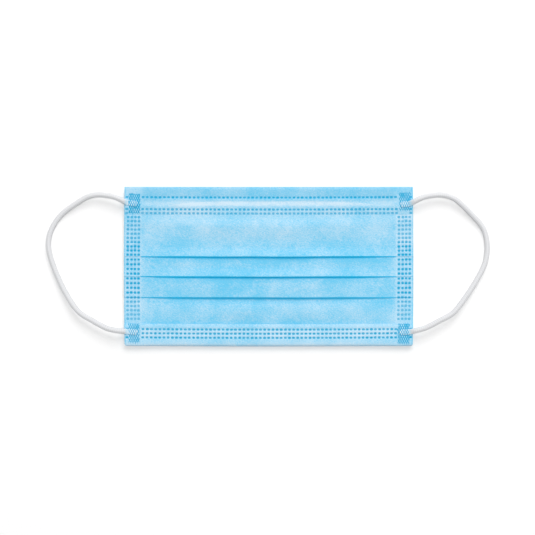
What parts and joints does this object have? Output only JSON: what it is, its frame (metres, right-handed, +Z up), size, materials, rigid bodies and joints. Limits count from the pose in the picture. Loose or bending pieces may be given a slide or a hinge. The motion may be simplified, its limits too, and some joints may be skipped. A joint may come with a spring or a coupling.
{
  "type": "pleated surgical face mask",
  "caption": "Flat folded face mask of pleated cloth with folded hems, a bendable nose strip and round elastic ear loops at its sides.",
  "frame": {"origin": "on the surface that the mask lies on, below the middle of its cloth without the ear loops", "axes": "+X to the mask's right ear loop as seen from above, +Y towards the nose edge, +Z up out of the blue outer face"},
  "size_m": [0.2685, 0.0966, 0.0069],
  "materials": {
    "nonwoven_cloth": "matte blue nonwoven",
    "nonwoven_hem": "matte blue nonwoven, welded in dashes",
    "coated_strip": "plastic-coated wire",
    "elastic_cord": "knitted elastic"
  },
  "bodies": {
    "root": {"pleated_cloth": "nonwoven_cloth", "top_hem": "nonwoven_hem", "bottom_hem": "nonwoven_hem", "nose_strip": "coated_strip", "ear_loop_left": "elastic_cord", "ear_loop_right": "elastic_cord"}
  },
  "joints": []
}
